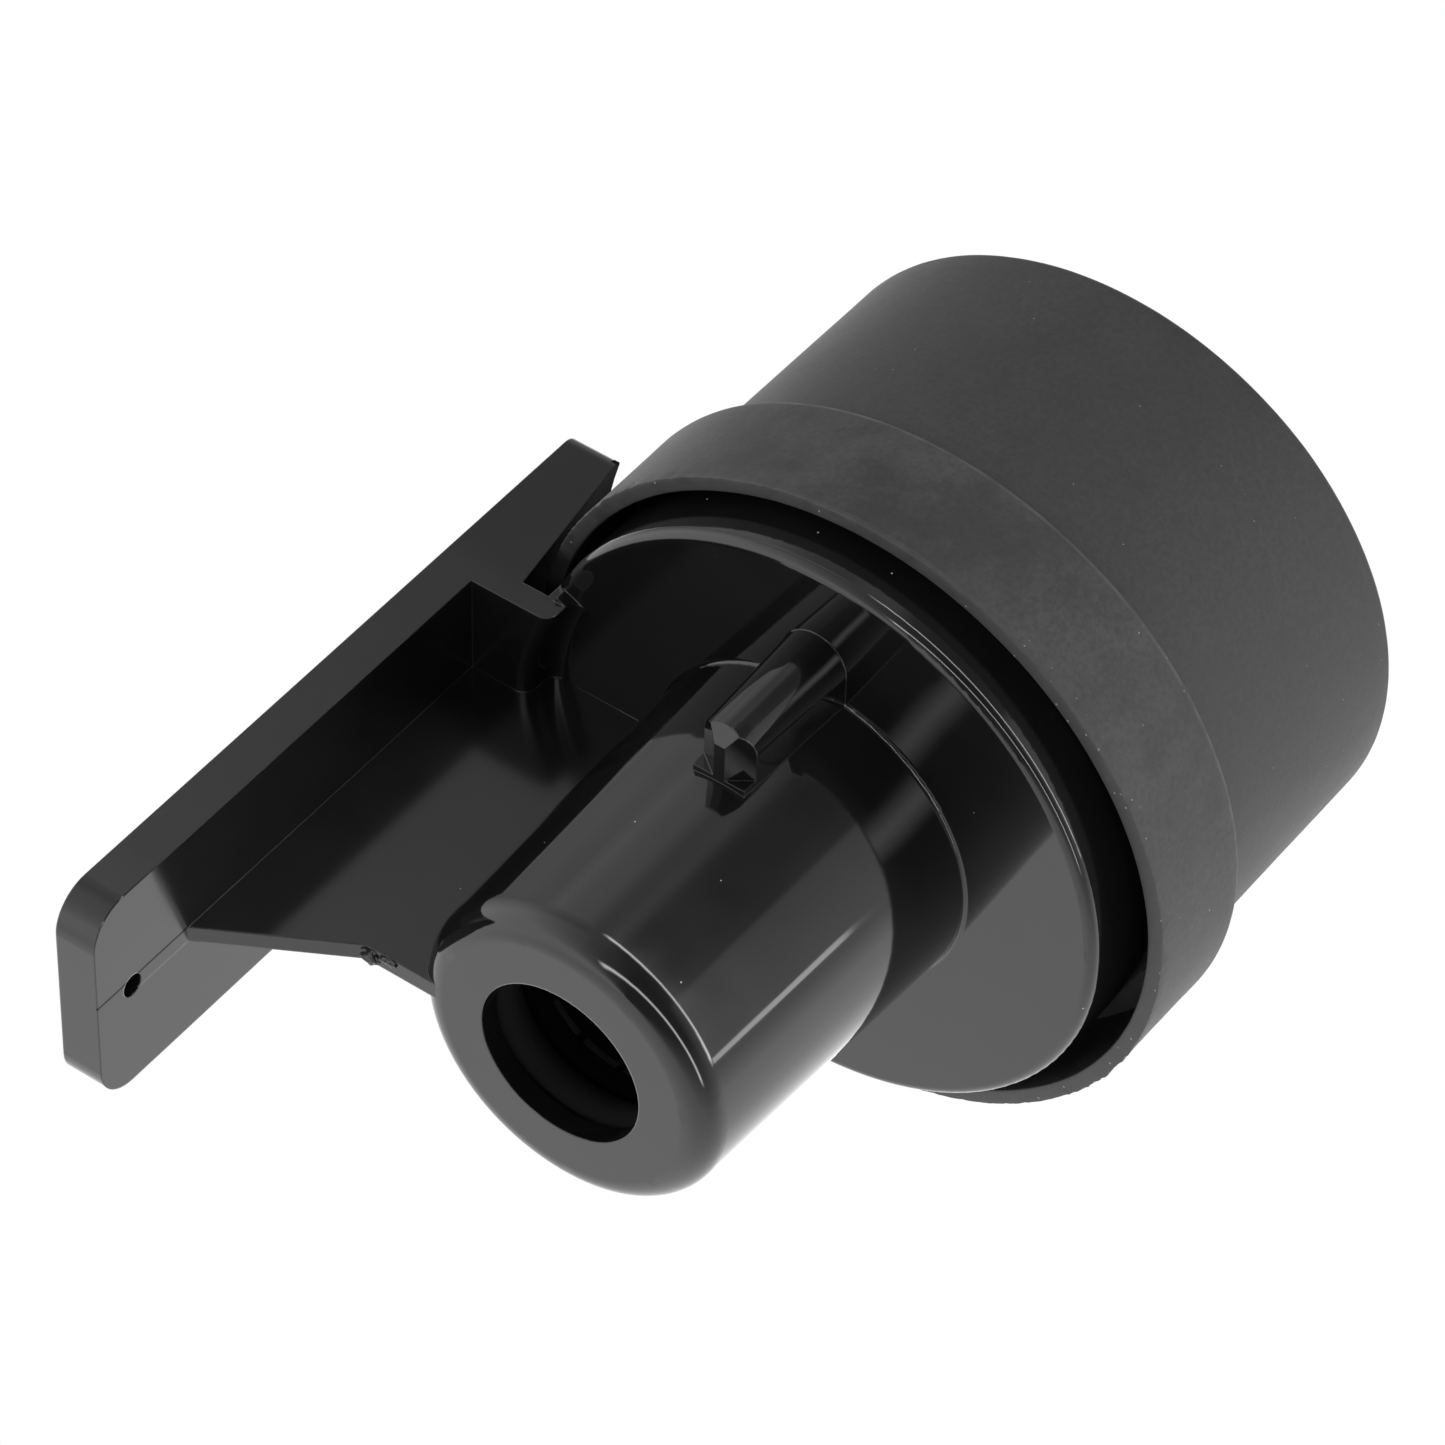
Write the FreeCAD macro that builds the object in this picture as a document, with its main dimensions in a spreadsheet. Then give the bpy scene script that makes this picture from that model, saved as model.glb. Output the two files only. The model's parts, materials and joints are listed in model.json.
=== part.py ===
import FreeCAD, Part
import math
import os
import Sketcher
from FreeCAD import Vector

# Compact float fill valve, in millimetres, +Z up.
# The origin is on the head's axis, in the plane of the float cup's closed flat end.
# The inlet nozzle points up, and the mounting rail is on the +X side.
SIZES = {
    # Head: flange, skirt and nozzle.
    "flange_radius": 31.4,
    "flange_face_z": 46.6,
    "flange_wall": 2.1,
    "flange_edge": 1.0,
    "skirt_wall": 2.0,
    "skirt_depth": 14.1,
    "nozzle_length": 37.4,
    "nozzle_tip_radius": 16.2,
    "nozzle_draft": 1.2,
    "nozzle_wall": 2.2,
    "nozzle_edge": 3.0,
    "nozzle_root_fillet": 0.4,
    "nozzle_end_wall": 2.2,
    "inlet_radius": 8.7,
    # Head: rib on the nozzle, web, rail, bridge and the finger outside the float.
    "rib_radius": 3.5,
    "rib_offset": 3.1,
    "rib_length": 14.4,
    "rib_draft": 2.6,
    "rib_slope_run": 2.6,
    "rib_slope_rise": 1.3,
    "rib_gable_run": 2.9,
    "rib_gable_rise": 2.2,
    "web_wall": 1.8,
    "web_rail_rise": 8.2,
    "web_flat_run": 5.6,
    "web_edge_drop": 0.1,
    "rail_gap": 0.8,
    "rail_wall": 4.4,
    "rail_width": 24.1,
    "rail_corner": 4.2,
    "rail_above_nozzle": 20.5,
    "finger_reach": 1.5,
    "finger_corner": 2.0,
    "rail_hole_radius": 1.2,
    "rail_hole_drop": 4.8,
    "bridge_wall": 2.7,
    "bridge_lift": 1.1,
    "bridge_overlap": 2.0,
    "bridge_fillet": 1.3,
    "slot_top_inset": 0.9,
    "slot_end_gap": 1.8,
    # Stack inside the nozzle.
    "nest_clearance": 0.1,
    "cage_height": 10.5,
    "cage_wall": 2.4,
    "spider_wall": 2.5,
    "cage_flange_lap": 0.4,
    "cage_flange_wall": 2.0,
    "flow_hole_radius": 2.0,
    "flow_hole_edge": 0.5,
    "seat_height": 4.0,
    "seat_bore": 4.0,
    "seat_lip": 1.0,
    "restrictor_wall": 1.5,
    "restrictor_bore": 2.0,
    "restrictor_hole": 1.2,
    "screen_height": 1.5,
    "screen_rim": 1.6,
    "screen_hole": 0.9,
    "screen_edge": 2.4,
    "sleeve_stop_width": 1.7,
    "sleeve_stop_wall": 2.0,
    "grip_wall": 0.6,
    "grip_slot_width": 0.8,
    "spacer_wall": 1.5,
    "tube_clearance": 0.2,
    "seat_oring_section": 0.7,
    # Screws that hold the guide cage.
    "screw_radius": 0.8,
    "screw_grip": 5.5,
    "screw_head_radius": 1.6,
    "screw_head_height": 1.5,
    # Plunger, spring and lever.
    "float_travel": 12.0,
    "contact_gap": 0.3,
    "seal_gap": 0.1,
    "stem_radius": 2.0,
    "stem_clearance": 0.05,
    "foot_gap": 0.5,
    "foot_height": 1.5,
    "plunger_head_radius": 7.0,
    "plunger_floor": 1.5,
    "plunger_lip": 1.0,
    "spring_recess_radius": 4.0,
    "washer_wall": 0.4,
    "spring_wire_radius": 0.3,
    "spring_radius": 2.55,
    "spring_turns": 5.0,
    "lever_headroom": 3.1,
    "far_arm": 24.0,
    "near_arm": 6.0,
    "boss_radius": 2.4,
    "pivot_boss_radius": 2.6,
    "lever_bar": 3.0,
    "lever_width": 6.0,
    "ear_wall": 2.0,
    "ear_gap": 0.4,
    "ear_radius": 2.6,
    "pin_radius": 1.47,
    "pin_clearance": 0.06,
    "pin_seat": 0.03,
    # Lower cover.
    "cover_rim_height": 4.0,
    "cover_gap": 1.35,
    "cover_wall": 1.4,
    "cover_floor_wall": 2.0,
    "locknut_gap": 1.1,
    "drain_radius": 2.2,
    "drain_circle": 14.0,
    "guide_clearance": 0.15,
    # Float: rubber boot, shell, lid and push rod. Its axis stands beside the head's.
    "float_shift_x": -0.7,
    "float_shift_y": 0.3,
    "band_gap": 2.0,
    "band_wall": 1.6,
    "band_height": 12.5,
    "band_edge": 0.4,
    "band_step": 2.6,
    "rim_drop": 4.6,
    "cup_draft": 0.25,
    "cup_edge": 0.7,
    "cup_wall": 1.6,
    "boot_floor": 2.0,
    "shell_wall": 1.2,
    "shell_drop": 3.5,
    "shell_clearance": 0.05,
    "lid_gap": 0.4,
    "lid_wall": 1.2,
    "lid_seal_wall": 0.8,
    "rod_offset": 0.4,
    "rod_radius": 1.45,
    "rod_seat_clearance": 0.05,
    "rod_boss_radius": 3.4,
    "rod_boss_depth": 3.0,
    "rod_head_radius": 3.5,
    "rod_head_height": 2.8,
    "rod_head_cap": 1.0,
    "rod_head_chamfer": 0.4,
    "locknut_height": 2.0,
    "locknut_radius": 2.9,
}


class Size:
    """A length that carries both its value and the sheet formula it comes from."""

    def __init__(self, value, formula):
        self.value = value
        self.formula = formula

    def __add__(self, other):
        other = as_size(other)
        return Size(self.value + other.value, f"({self.formula} + {other.formula})")

    def __sub__(self, other):
        other = as_size(other)
        return Size(self.value - other.value, f"({self.formula} - {other.formula})")

    def __mul__(self, other):
        other = as_size(other)
        return Size(self.value * other.value, f"({self.formula} * {other.formula})")

    def __truediv__(self, other):
        other = as_size(other)
        return Size(self.value / other.value, f"({self.formula} / {other.formula})")

    def __radd__(self, other):
        return as_size(other) + self

    def __rsub__(self, other):
        return as_size(other) - self

    def __rmul__(self, other):
        return as_size(other) * self

    def __neg__(self):
        return as_size(0) - self


def as_size(number):
    return number if isinstance(number, Size) else Size(float(number), f"({float(number):.9f})")


def root(size):
    return Size(math.sqrt(size.value), f"sqrt({size.formula})")


def arc_sine(size):
    return Size(math.degrees(math.asin(size.value)), f"asin({size.formula})")


def around(radius, angle_deg):
    """The x and y of a point at an angle on a circle about the axis."""
    angle = math.radians(angle_deg)
    return radius * math.cos(angle), radius * math.sin(angle)


doc = FreeCAD.newDocument("fill_valve")
sheet = doc.addObject("Spreadsheet::Sheet", "Sizes")
for row, (alias, number) in enumerate(SIZES.items(), start=1):
    sheet.set(f"A{row}", alias)
    sheet.set(f"B{row}", str(number))
    sheet.setAlias(f"B{row}", alias)
doc.recompute()


class Sheet:
    """Each size in the sheet, by its alias."""

    def __getattr__(self, alias):
        return Size(float(SIZES[alias]), f"Sizes.{alias}")


S = Sheet()


def bind(item, path, size):
    """Set a property to a size, and tie it to the sheet."""
    item.setExpression(path, as_size(size).formula)


def new_body(label, place=(0, 0, 0)):
    body = doc.addObject("PartDesign::Body", label)
    body.Label = label
    bind_place(body, place)
    return body


def bind_place(item, place):
    for axis, size in zip("xyz", place):
        bind(item, f"Placement.Base.{axis}", size)


def new_sketch(body, plane, lift=0):
    """A sketch on one of the body's origin planes, lifted along the plane's normal."""
    sketch = body.newObject("Sketcher::SketchObject", f"{body.Label}_sketch")
    support = next(f for f in body.Origin.OriginFeatures if f.Role == f"{plane}_Plane")
    sketch.AttachmentSupport = [(support, "")]
    sketch.MapMode = "FlatFace"
    bind(sketch, "AttachmentOffset.Base.z", lift)
    return sketch


def fix_point(sketch, item, end, x, y):
    """Hold a point of the sketch at x and y from the sketch's origin."""
    for kind, size in (("DistanceX", as_size(x)), ("DistanceY", as_size(y))):
        index = sketch.addConstraint(Sketcher.Constraint(kind, -1, 1, item, end, size.value))
        sketch.setExpression(f"Constraints[{index}]", size.formula)


def fix_radius(sketch, item, size):
    index = sketch.addConstraint(Sketcher.Constraint("Radius", item, size.value))
    sketch.setExpression(f"Constraints[{index}]", size.formula)


def arc_between(start, end, radius):
    """The shorter arc from start to end: it turns left when the radius is positive."""
    chord = end - start
    left = Vector(-chord.y, chord.x, 0).normalize()
    reach = math.sqrt(max(radius**2 - (chord.Length / 2) ** 2, 0.0))
    centre = (start + end) / 2 + left * math.copysign(reach, radius)
    first, last = (start, end) if radius > 0 else (end, start)
    angles = [math.atan2(p.y - centre.y, p.x - centre.x) for p in (first, last)]
    return Part.ArcOfCircle(Part.Circle(centre, Vector(0, 0, 1), abs(radius)), *angles)


def outline(sketch, points):
    """A closed outline through (x, y) points. Where a point has a third value, an arc of that
    radius ends there, turning left where it is positive and right where it is negative."""
    points = [tuple(as_size(value) for value in point) for point in points]
    ends = []
    for start, end in zip(points, points[1:] + points[:1]):
        first = Vector(start[0].value, start[1].value, 0)
        last = Vector(end[0].value, end[1].value, 0)
        if len(end) == 3:
            item = sketch.addGeometry(arc_between(first, last, end[2].value), False)
            fix_radius(sketch, item, end[2] if end[2].value > 0 else -end[2])
            start_end, last_end = (1, 2) if end[2].value > 0 else (2, 1)
        else:
            item = sketch.addGeometry(Part.LineSegment(first, last), False)
            start_end, last_end = 1, 2
        fix_point(sketch, item, start_end, start[0], start[1])
        ends.append((item, start_end, last_end))
    for (item, _, last_end), (following, start_end, _) in zip(ends, ends[1:] + ends[:1]):
        sketch.addConstraint(Sketcher.Constraint("Coincident", item, last_end, following, start_end))


def circle(sketch, x, y, radius):
    x, y, radius = as_size(x), as_size(y), as_size(radius)
    centre = Vector(x.value, y.value, 0)
    item = sketch.addGeometry(Part.Circle(centre, Vector(0, 0, 1), radius.value), False)
    fix_radius(sketch, item, radius)
    fix_point(sketch, item, 3, x, y)


def feature(body, kind, sketch):
    item = body.newObject(f"PartDesign::{kind}", f"{body.Label}_{kind}")
    item.Profile = sketch
    body.Tip = item
    return item


def spin(body, points, kind="Revolution"):
    """Turn a profile of (radius, z) points about the body's own Z axis."""
    sketch = new_sketch(body, "XZ")
    outline(sketch, points)
    item = feature(body, kind, sketch)
    item.ReferenceAxis = (sketch, ["V_Axis"])
    item.Angle = 360
    doc.recompute()
    return item


def extrude(body, sketch, kind, length, both_sides=False, reverse=False):
    """Pad or pocket a sketch. A pad goes along the plane's normal, and a pocket against it."""
    item = feature(body, kind, sketch)
    bind(item, "Length", length)
    item.SideType = "Symmetric" if both_sides else "One side"
    item.Reversed = reverse
    doc.recompute()
    return item


def rectangle(x_low, y_low, x_high, y_high):
    return [(x_low, y_low), (x_high, y_low), (x_high, y_high), (x_low, y_high)]


def ring(label, inner, outer, low, high, place=(0, 0, 0)):
    """A plain ring or washer."""
    body = new_body(label, place)
    spin(body, rectangle(inner, low, outer, high))
    return body


def oring(label, radius, section, z):
    item = doc.addObject("Part::Torus", label)
    item.Label = label
    bind(item, "Radius1", radius)
    bind(item, "Radius2", section)
    bind_place(item, (0, 0, z))


# Heights and radii that several pieces share.
nozzle_face_z = S.flange_face_z + S.nozzle_length
nozzle_base_radius = S.nozzle_tip_radius + S.nozzle_draft
cavity_radius = S.nozzle_tip_radius - S.nozzle_wall
ceiling_z = nozzle_face_z - S.nozzle_end_wall
underside_z = S.flange_face_z - S.flange_wall
skirt_bottom_z = S.flange_face_z - S.skirt_depth
skirt_inner_radius = S.flange_radius - S.skirt_wall
nest_radius = cavity_radius - S.nest_clearance
tube_radius = S.inlet_radius + S.tube_clearance

# The float's cup and the band that stands round the head's skirt.
band_inner_radius = S.flange_radius + S.band_gap
band_radius = band_inner_radius + S.band_wall
rim_z = S.flange_face_z - S.rim_drop
band_bottom_z = rim_z - S.band_height
cup_end_radius = band_radius - S.band_step
cup_top_radius = cup_end_radius + S.cup_draft
boot_inner_radius = cup_end_radius - S.cup_wall
shell_radius = boot_inner_radius - S.shell_clearance
shell_inner_radius = shell_radius - S.shell_wall
shell_top_z = skirt_bottom_z - S.shell_drop
float_place = (S.float_shift_x, S.float_shift_y, 0)

# The rail, the bridge and the finger that guides the band.
half_rail = S.rail_width / 2
rail_inner_x = band_radius + S.rail_gap
rail_outer_x = rail_inner_x + S.rail_wall
rail_top_z = nozzle_face_z + S.rail_above_nozzle
rail_bottom_z = rim_z - S.float_travel - S.finger_reach
slot_top_z = S.flange_face_z + S.bridge_lift
bridge_top_z = slot_top_z + S.bridge_wall
bridge_inner_radius = S.flange_radius - S.bridge_overlap
rib_centre = nozzle_base_radius + S.rib_offset

# The stack inside the nozzle.
cage_flange_radius = nozzle_base_radius + S.cage_flange_lap
cage_inner_radius = nest_radius - S.cage_wall
cage_bottom_z = underside_z - S.cage_flange_wall
spider_top_z = underside_z + S.spider_wall
cage_top_z = underside_z + S.cage_height
flow_hole_circle = cage_inner_radius - S.flow_hole_edge - S.flow_hole_radius
screw_circle = (cavity_radius + nozzle_base_radius) / 2
seat_top_z = cage_top_z + S.seat_height
restrictor_top_z = seat_top_z + S.restrictor_wall
screen_top_z = restrictor_top_z + S.screen_height
screen_radius = nest_radius - S.screen_rim
inlet_oring_section = (nest_radius - S.inlet_radius) / 2 - S.tube_clearance / 8
inlet_oring_z = ceiling_z - inlet_oring_section - S.nest_clearance / 2
spacer_top_z = inlet_oring_z - inlet_oring_section - S.nest_clearance / 2
grip_top_z = spacer_top_z - S.spacer_wall
sleeve_top_z = grip_top_z - S.grip_wall

# The lever, which lies level at half the float's travel, and the plunger.
pivot_x = S.near_arm
far_rise = S.float_travel / 2
near_rise = far_rise * S.near_arm / S.far_arm
pivot_z = underside_z - far_rise - S.boss_radius - S.lever_headroom
rest_angle = arc_sine(far_rise / S.far_arm)
plunger_travel = near_rise * 2
foot_radius = pivot_x - S.pivot_boss_radius - S.foot_gap
foot_bottom_z = pivot_z + near_rise + S.boss_radius + S.contact_gap
foot_top_z = foot_bottom_z + S.foot_height
head_bottom_z = spider_top_z + plunger_travel + S.contact_gap
seal_bottom_z = head_bottom_z + S.plunger_floor
lip_bottom_z = cage_top_z - S.seat_lip
seal_top_z = lip_bottom_z - S.seal_gap
spring_top_z = underside_z - S.washer_wall

# The push rod's head, and the cover and the float's lid below it.
rod_x = pivot_x - S.far_arm + S.rod_offset
rod_place = (rod_x, 0, 0)
rod_head_top_z = pivot_z + far_rise - S.boss_radius - S.contact_gap
rod_head_bottom_z = rod_head_top_z - S.rod_head_height
cover_radius = shell_inner_radius - S.cover_gap
cover_floor_z = rod_head_bottom_z - S.locknut_height - S.float_travel - S.locknut_gap
cover_bottom_z = cover_floor_z - S.cover_floor_wall
lid_top_z = cover_bottom_z - S.lid_gap
lid_bottom_z = lid_top_z - S.lid_wall
ledge_z = lid_bottom_z - S.lid_seal_wall
ledge_radius = shell_inner_radius - S.shell_wall
SCREW_ANGLES = (0, 120, 240)
FLOW_ANGLES = (60, 120, 180, 240, 300)


def make_valve_head():
    body = new_body("valve_head")
    spin(body, [
        (S.inlet_radius, nozzle_face_z),
        (S.nozzle_tip_radius - S.nozzle_edge, nozzle_face_z),
        (S.nozzle_tip_radius, nozzle_face_z - S.nozzle_edge, -S.nozzle_edge),
        (nozzle_base_radius, S.flange_face_z + S.nozzle_root_fillet),
        (nozzle_base_radius + S.nozzle_root_fillet, S.flange_face_z, S.nozzle_root_fillet),
        (S.flange_radius - S.flange_edge, S.flange_face_z),
        (S.flange_radius, S.flange_face_z - S.flange_edge, -S.flange_edge),
        (S.flange_radius, skirt_bottom_z),
        (skirt_inner_radius, skirt_bottom_z),
        (skirt_inner_radius, underside_z),
        (cavity_radius, underside_z),
        (cavity_radius, ceiling_z),
        (S.inlet_radius, ceiling_z),
    ])
    add_rail(body)
    add_bridge(body)
    add_web(body)
    add_rib(body)
    holes = new_sketch(body, "XY", underside_z)
    for angle in SCREW_ANGLES:
        x, y = around(screw_circle, angle)
        circle(holes, x, y, S.screw_radius + S.stem_clearance)
    extrude(body, holes, "Pocket", S.screw_grip + 0.5, reverse=True)
    rail_hole = new_sketch(body, "YZ", rail_outer_x)
    circle(rail_hole, 0, rail_top_z - S.rail_hole_drop, S.rail_hole_radius)
    extrude(body, rail_hole, "Pocket", S.rail_wall + 1)


def add_rail(body):
    """The flat rail with rounded corners, and the finger that it ends in."""
    top = S.rail_corner
    foot = S.finger_corner
    plate = new_sketch(body, "YZ", rail_inner_x)
    outline(plate, [
        (-half_rail + foot, rail_bottom_z, foot),
        (half_rail - foot, rail_bottom_z),
        (half_rail, rail_bottom_z + foot, foot),
        (half_rail, rail_top_z - top),
        (half_rail - top, rail_top_z, top),
        (-half_rail + top, rail_top_z),
        (-half_rail, rail_top_z - top, top),
        (-half_rail, rail_bottom_z + foot),
    ])
    extrude(body, plate, "Pad", S.rail_wall)


def add_bridge(body):
    """The bridge from the flange's rim to the rail, and the slot that the float's band runs in."""
    finger = new_sketch(body, "YZ", S.flange_radius + 0.2)
    corner = S.finger_corner
    outline(finger, [
        (-half_rail + corner, rail_bottom_z, corner),
        (half_rail - corner, rail_bottom_z),
        (half_rail, rail_bottom_z + corner, corner),
        (half_rail, bridge_top_z),
        (-half_rail, bridge_top_z),
        (-half_rail, rail_bottom_z + corner),
    ])
    extrude(body, finger, "Pad", rail_inner_x - S.flange_radius + 0.3)
    bridge = new_sketch(body, "XY", S.flange_face_z - S.flange_wall / 2)
    bridge_x = root(bridge_inner_radius * bridge_inner_radius - half_rail * half_rail)
    outline(bridge, [
        (bridge_x, -half_rail, -bridge_inner_radius),
        (rail_inner_x + 0.5, -half_rail),
        (rail_inner_x + 0.5, half_rail),
        (bridge_x, half_rail),
    ])
    extrude(body, bridge, "Pad", bridge_top_z - S.flange_face_z + S.flange_wall / 2)
    spin(body, [
        (S.flange_radius, rail_bottom_z),
        (band_radius + S.slot_end_gap, rail_bottom_z),
        (band_radius - S.slot_top_inset, slot_top_z),
        (S.flange_radius, slot_top_z),
    ], kind="Groove")
    spin(body, [
        (bridge_inner_radius, bridge_top_z - S.bridge_fillet, S.bridge_fillet),
        (bridge_inner_radius, bridge_top_z),
        (bridge_inner_radius + S.bridge_fillet, bridge_top_z),
    ], kind="Groove")
    fillet_start = bridge_inner_radius - S.bridge_fillet
    foot = spin(body, [
        (fillet_start, S.flange_face_z, -S.bridge_fillet),
        (fillet_start, underside_z + S.flange_wall / 2),
        (bridge_inner_radius + S.bridge_fillet, underside_z + S.flange_wall / 2),
        (bridge_inner_radius + S.bridge_fillet, S.flange_face_z + S.bridge_fillet),
        (bridge_inner_radius, S.flange_face_z + S.bridge_fillet),
    ])
    foot.Midplane = True
    bind(foot, "Angle", arc_sine(half_rail / bridge_inner_radius) * 2)
    doc.recompute()


def add_web(body):
    """The thin web that joins the nozzle to the rail, and makes it a T in section."""
    wall_middle = (cavity_radius + S.nozzle_tip_radius) / 2
    end_wall_middle_z = nozzle_face_z - S.nozzle_end_wall / 2
    inset_x = S.nozzle_tip_radius - S.nozzle_edge
    edge_z = nozzle_face_z - S.web_edge_drop
    inside_rail_x = rail_inner_x + 0.5
    web = new_sketch(body, "XZ")
    outline(web, [
        (wall_middle, S.flange_face_z - S.flange_wall / 2),
        (bridge_inner_radius, S.flange_face_z - S.flange_wall / 2),
        (S.flange_radius, bridge_top_z - S.bridge_wall / 2),
        (inside_rail_x, bridge_top_z - S.bridge_wall / 2),
        (inside_rail_x, nozzle_face_z + S.web_rail_rise),
        (S.nozzle_tip_radius + S.web_flat_run, edge_z),
        (inset_x, edge_z),
        (inset_x, end_wall_middle_z),
        (wall_middle, end_wall_middle_z),
    ])
    extrude(body, web, "Pad", S.web_wall, both_sides=True)


def add_rib(body):
    """The half-round rib at the nozzle's foot, which narrows to an end shaped like a gable."""
    seat_y = -(cavity_radius + S.nozzle_tip_radius) / 2
    rib_outer_y = -(rib_centre + S.rib_radius)
    rib_top_z = S.flange_face_z + S.rib_length
    rib = new_sketch(body, "XY", S.flange_face_z - S.flange_wall / 2)
    outline(rib, [
        (-S.rib_radius, seat_y),
        (-S.rib_radius, -rib_centre),
        (0, rib_outer_y, S.rib_radius),
        (S.rib_radius, -rib_centre, S.rib_radius),
        (S.rib_radius, seat_y),
    ])
    pad = extrude(body, rib, "Pad", S.rib_length + S.flange_wall / 2)
    bind(pad, "TaperAngle", -S.rib_draft)
    doc.recompute()
    slope = new_sketch(body, "YZ")
    outline(slope, [
        (rib_outer_y, rib_top_z),
        (rib_outer_y, rib_top_z - S.rib_slope_rise),
        (rib_outer_y + S.rib_slope_run, rib_top_z),
    ])
    extrude(body, slope, "Pocket", S.rib_radius * 2 + 1, both_sides=True)
    for side in (-1, 1):
        gable = new_sketch(body, "XZ", rib_centre + S.rib_radius)
        outline(gable, [
            (side * S.rib_radius, rib_top_z),
            (side * (S.rib_radius - S.rib_gable_run), rib_top_z),
            (side * S.rib_radius, rib_top_z - S.rib_gable_rise),
        ])
        extrude(body, gable, "Pocket", rib_centre + S.rib_radius - nozzle_base_radius)


def make_guide_cage():
    """The cage under the seat: it guides the plunger's stem and carries the lever's ears."""
    body = new_body("guide_cage")
    stem_hole = S.stem_radius + S.stem_clearance
    spin(body, [
        (stem_hole, underside_z),
        (S.spring_recess_radius, underside_z),
        (S.spring_recess_radius, cage_bottom_z),
        (cage_flange_radius, cage_bottom_z),
        (cage_flange_radius, underside_z),
        (nest_radius, underside_z),
        (nest_radius, cage_top_z),
        (cage_inner_radius, cage_top_z),
        (cage_inner_radius, spider_top_z),
        (stem_hole, spider_top_z),
    ])
    flow = new_sketch(body, "XY", spider_top_z)
    for angle in FLOW_ANGLES:
        x, y = around(flow_hole_circle, angle)
        circle(flow, x, y, S.flow_hole_radius)
    extrude(body, flow, "Pocket", spider_top_z - cage_bottom_z)
    screws = new_sketch(body, "XY", underside_z)
    for angle in SCREW_ANGLES:
        x, y = around(screw_circle, angle)
        circle(screws, x, y, S.screw_radius + S.nest_clearance)
    extrude(body, screws, "Pocket", S.cage_flange_wall)
    ear_inner_y = S.lever_width / 2 + S.ear_gap
    for lift in (-(ear_inner_y + S.ear_wall), ear_inner_y):
        ear = new_sketch(body, "XZ", lift)
        outline(ear, [
            (pivot_x - S.ear_radius, cage_bottom_z + 0.2),
            (pivot_x - S.ear_radius, pivot_z),
            (pivot_x, pivot_z - S.ear_radius, S.ear_radius),
            (pivot_x + S.ear_radius, pivot_z, S.ear_radius),
            (pivot_x + S.ear_radius, cage_bottom_z + 0.2),
        ])
        extrude(body, ear, "Pad", S.ear_wall)
    pin_hole = new_sketch(body, "XZ")
    circle(pin_hole, pivot_x, pivot_z, S.pin_radius + S.pin_seat)
    extrude(body, pin_hole, "Pocket", (ear_inner_y + S.ear_wall) * 2 + 1, both_sides=True)


def make_cage_screws():
    screws = []
    for number, angle in enumerate(SCREW_ANGLES, start=1):
        x, y = around(screw_circle, angle)
        head = doc.addObject("Part::Cylinder", f"screw_head_{number}")
        bind(head, "Radius", S.screw_head_radius)
        bind(head, "Height", S.screw_head_height)
        bind_place(head, (x, y, cage_bottom_z - S.screw_head_height))
        shank = doc.addObject("Part::Cylinder", f"screw_shank_{number}")
        bind(shank, "Radius", S.screw_radius)
        bind(shank, "Height", S.cage_flange_wall + S.screw_grip)
        bind_place(shank, (x, y, cage_bottom_z))
        screw = doc.addObject("Part::Fuse", f"screw_{number}")
        screw.Base = head
        screw.Tool = shank
        screws.append(screw)
    group = doc.addObject("Part::Compound", "cage_screws")
    group.Label = "cage_screws"
    group.Links = screws


def make_valve_seat():
    body = new_body("valve_seat")
    groove_radius = nest_radius - S.seat_oring_section * 2 - S.nest_clearance
    groove_half = S.seat_oring_section + S.nest_clearance
    middle_z = (cage_top_z + seat_top_z) / 2
    spin(body, [
        (S.seat_bore, lip_bottom_z),
        (S.seat_bore + S.seat_lip, lip_bottom_z),
        (S.seat_bore + S.seat_lip * 1.4, cage_top_z),
        (nest_radius, cage_top_z),
        (nest_radius, middle_z - groove_half),
        (groove_radius, middle_z - groove_half),
        (groove_radius, middle_z + groove_half),
        (nest_radius, middle_z + groove_half),
        (nest_radius, seat_top_z),
        (S.seat_bore, seat_top_z),
    ])
    oring("seat_oring", groove_radius + S.seat_oring_section + S.nest_clearance / 2,
          S.seat_oring_section, middle_z)


def make_flow_restrictor():
    body = ring("flow_restrictor", S.restrictor_bore, nest_radius, seat_top_z, restrictor_top_z)
    holes = new_sketch(body, "XY", restrictor_top_z)
    for angle in range(0, 360, 60):
        x, y = around(S.restrictor_bore * 3, angle)
        circle(holes, x, y, S.restrictor_hole)
    extrude(body, holes, "Pocket", S.restrictor_wall)


def make_filter_screen():
    body = new_body("filter_screen")
    mesh_low = restrictor_top_z + S.screen_height / 3
    mesh_high = restrictor_top_z + S.screen_height * 2 / 3
    spin(body, [
        (0, mesh_low),
        (screen_radius, mesh_low),
        (screen_radius, restrictor_top_z),
        (nest_radius, restrictor_top_z),
        (nest_radius, screen_top_z),
        (screen_radius, screen_top_z),
        (screen_radius, mesh_high),
        (0, mesh_high),
    ])
    holes = new_sketch(body, "XY", mesh_high)
    circle(holes, 0, 0, S.screen_hole)
    pitch = (screen_radius - S.screen_edge - S.screen_hole) / 3
    for ring_number in (1, 2, 3):
        count = ring_number * 6
        for step in range(count):
            x, y = around(pitch * ring_number, 360 * step / count)
            circle(holes, x, y, S.screen_hole)
    extrude(body, holes, "Pocket", S.screen_height / 3)


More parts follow.
